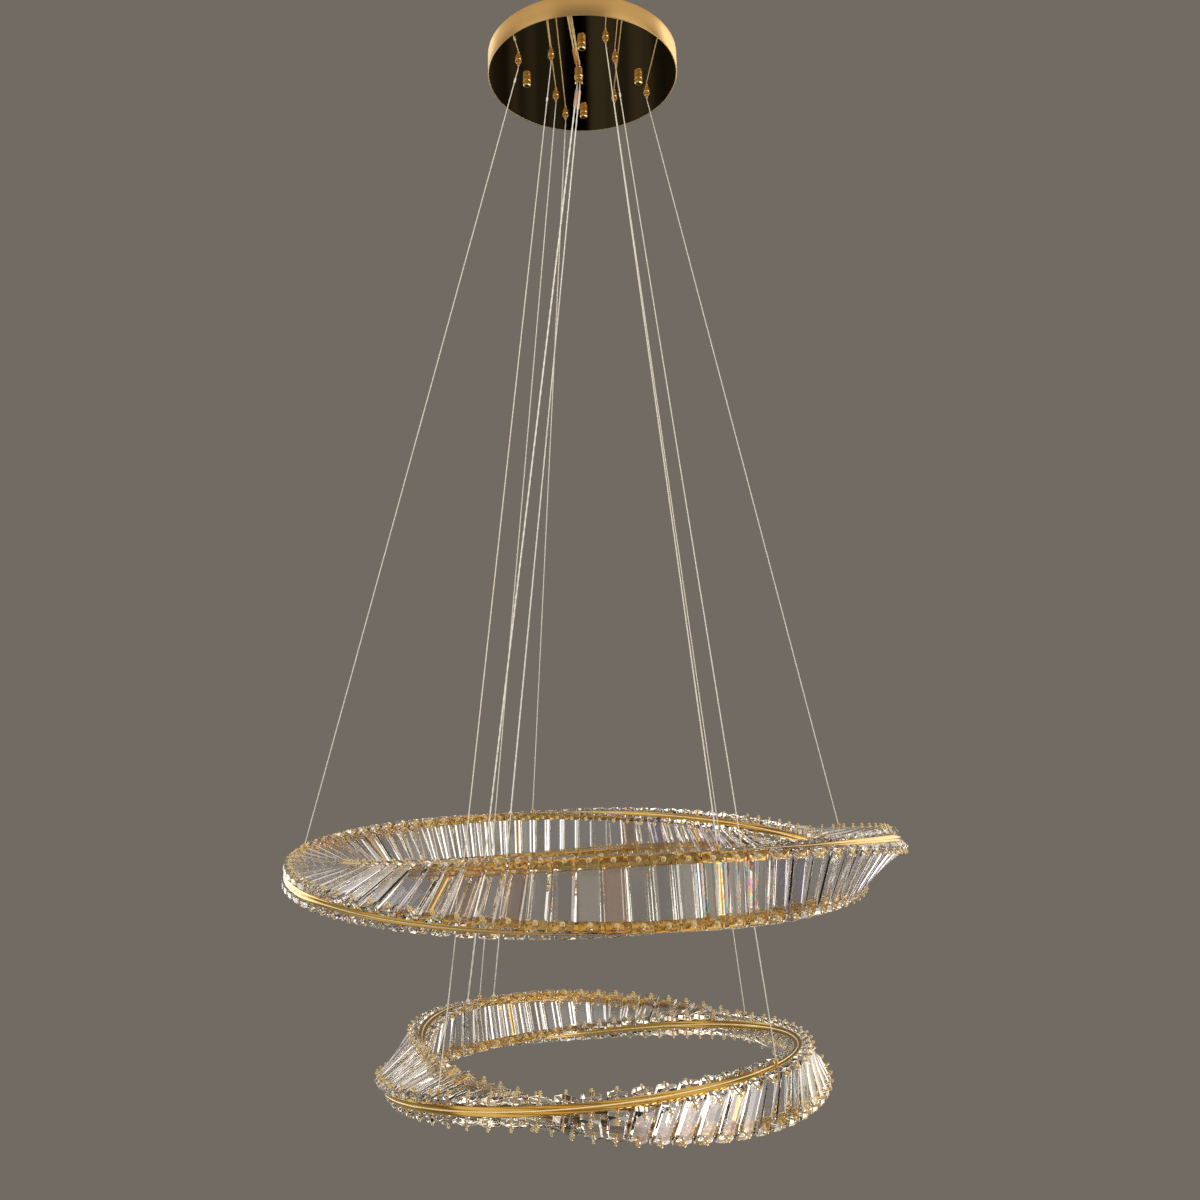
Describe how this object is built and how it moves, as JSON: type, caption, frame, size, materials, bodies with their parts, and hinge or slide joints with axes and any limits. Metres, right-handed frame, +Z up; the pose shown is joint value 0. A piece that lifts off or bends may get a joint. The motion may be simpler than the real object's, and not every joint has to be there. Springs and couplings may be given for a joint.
{
  "type": "crystal chandelier",
  "caption": "Two-tier pendant lamp: twisted gold ring bands faced with crystal bars, hung on thin steel wires from a round canopy, each ring adjustable in height.",
  "frame": {"origin": "centre of the ceiling plate's four fixing holes, on the plate's top face, which lies on the ceiling", "axes": "+Z up into the ceiling, the rings hang towards -Z; -Y is the side seen in the picture, +X to its right"},
  "size_m": [0.8084, 0.7885, 1.4533],
  "materials": {
    "polished_gold": "polished, gold plated",
    "satin_gold": "satin brushed gold",
    "canopy_mirror": "dark bronze mirror polish",
    "rail_gold": "polished gold with a brushed centre line",
    "crystal": "clear cut crystal",
    "zinc_steel": "zinc plated",
    "driver_case": "white moulded",
    "terminal_plastic": "white moulded",
    "lead_sleeve": "white insulated lead",
    "steel_wire": "fine stranded steel",
    "clear_cord": "clear insulated lead",
    "rose_sleeve": "shrunk sleeve, rose copper",
    "led_board": "white board with yellow emitters, unlit",
    "diffuser": "milky",
    "clear_rubber": "clear soft washer"
  },
  "bodies": {
    "root": {"ceiling_plate": "zinc_steel", "canopy_studs": "zinc_steel", "stud_nuts": "zinc_steel", "canopy_rim": "satin_gold", "canopy_plate": "canopy_mirror", "driver_upper_ring": "driver_case", "driver_lower_ring": "driver_case", "terminal_block": "terminal_plastic", "canopy_leads": "lead_sleeve", "cable_grippers": "polished_gold", "gripper_nuts": "zinc_steel", "gripper_lock_screws": "polished_gold", "cord_gland": "polished_gold", "gland_nut": "zinc_steel", "cord_sleeves": "rose_sleeve", "upper_wires": "steel_wire", "lower_wires": "steel_wire", "upper_power_cord": "clear_cord", "lower_power_cords": "clear_cord"},
    "nut_1": {"cap_nut_1": "polished_gold"},
    "nut_2": {"cap_nut_2": "polished_gold"},
    "nut_3": {"cap_nut_3": "polished_gold"},
    "nut_4": {"cap_nut_4": "polished_gold"},
    "release_1": {"plunger_1": "polished_gold"},
    "release_2": {"plunger_2": "polished_gold"},
    "release_3": {"plunger_3": "polished_gold"},
    "release_4": {"plunger_4": "polished_gold"},
    "release_5": {"plunger_5": "polished_gold"},
    "release_6": {"plunger_6": "polished_gold"},
    "release_7": {"plunger_7": "polished_gold"},
    "release_8": {"plunger_8": "polished_gold"},
    "upper_ring": {"upper_rail_a": "rail_gold", "upper_rail_b": "rail_gold", "upper_led_strips": "led_board", "upper_diffusers": "diffuser", "upper_struts": "rail_gold", "upper_crystals_a": "crystal", "upper_crystals_b": "crystal", "upper_crystal_pins": "polished_gold", "upper_crystal_pads": "clear_rubber", "upper_wire_anchors": "polished_gold", "upper_cord_inlets": "clear_cord"},
    "lower_ring": {"lower_rail_a": "rail_gold", "lower_rail_b": "rail_gold", "lower_led_strips": "led_board", "lower_diffusers": "diffuser", "lower_struts": "rail_gold", "lower_crystals_a": "crystal", "lower_crystals_b": "crystal", "lower_crystal_pins": "polished_gold", "lower_crystal_pads": "clear_rubber", "lower_wire_anchors": "polished_gold", "lower_cord_inlets": "clear_cord"}
  },
  "joints": [
    {"name": "upper_ring_height", "type": "slide", "parent": "root", "child": "upper_ring", "axis": [0, 0, 1], "range_m": [0, 0.6], "deforming": ["upper_wires", "upper_power_cord"]},
    {"name": "lower_ring_height", "type": "slide", "parent": "root", "child": "lower_ring", "axis": [0, 0, 1], "range_m": [0, 0.14], "deforming": ["lower_wires", "lower_power_cords"]},
    {"name": "nut_1_turn", "type": "hinge", "parent": "root", "child": "nut_1", "pos_m": [0.0825, 0, -0.03], "axis": [0, 0, 1], "continuous": true},
    {"name": "nut_2_turn", "type": "hinge", "parent": "root", "child": "nut_2", "pos_m": [0, 0.0825, -0.03], "axis": [0, 0, 1], "continuous": true},
    {"name": "nut_3_turn", "type": "hinge", "parent": "root", "child": "nut_3", "pos_m": [-0.0825, 0, -0.03], "axis": [0, 0, 1], "continuous": true},
    {"name": "nut_4_turn", "type": "hinge", "parent": "root", "child": "nut_4", "pos_m": [0, -0.0825, -0.03], "axis": [0, 0, 1], "continuous": true},
    {"name": "release_1_press", "type": "slide", "parent": "root", "child": "release_1", "axis": [0, 0, 1], "range_m": [0, 0.002], "stiffness_N_per_m": 400, "springref_m": -0.003},
    {"name": "release_2_press", "type": "slide", "parent": "root", "child": "release_2", "axis": [0, 0, 1], "range_m": [0, 0.002], "stiffness_N_per_m": 400, "springref_m": -0.003},
    {"name": "release_3_press", "type": "slide", "parent": "root", "child": "release_3", "axis": [0, 0, 1], "range_m": [0, 0.002], "stiffness_N_per_m": 400, "springref_m": -0.003},
    {"name": "release_4_press", "type": "slide", "parent": "root", "child": "release_4", "axis": [0, 0, 1], "range_m": [0, 0.002], "stiffness_N_per_m": 400, "springref_m": -0.003},
    {"name": "release_5_press", "type": "slide", "parent": "root", "child": "release_5", "axis": [0, 0, 1], "range_m": [0, 0.002], "stiffness_N_per_m": 400, "springref_m": -0.003},
    {"name": "release_6_press", "type": "slide", "parent": "root", "child": "release_6", "axis": [0, 0, 1], "range_m": [0, 0.002], "stiffness_N_per_m": 400, "springref_m": -0.003},
    {"name": "release_7_press", "type": "slide", "parent": "root", "child": "release_7", "axis": [0, 0, 1], "range_m": [0, 0.002], "stiffness_N_per_m": 400, "springref_m": -0.003},
    {"name": "release_8_press", "type": "slide", "parent": "root", "child": "release_8", "axis": [0, 0, 1], "range_m": [0, 0.002], "stiffness_N_per_m": 400, "springref_m": -0.003}
  ]
}
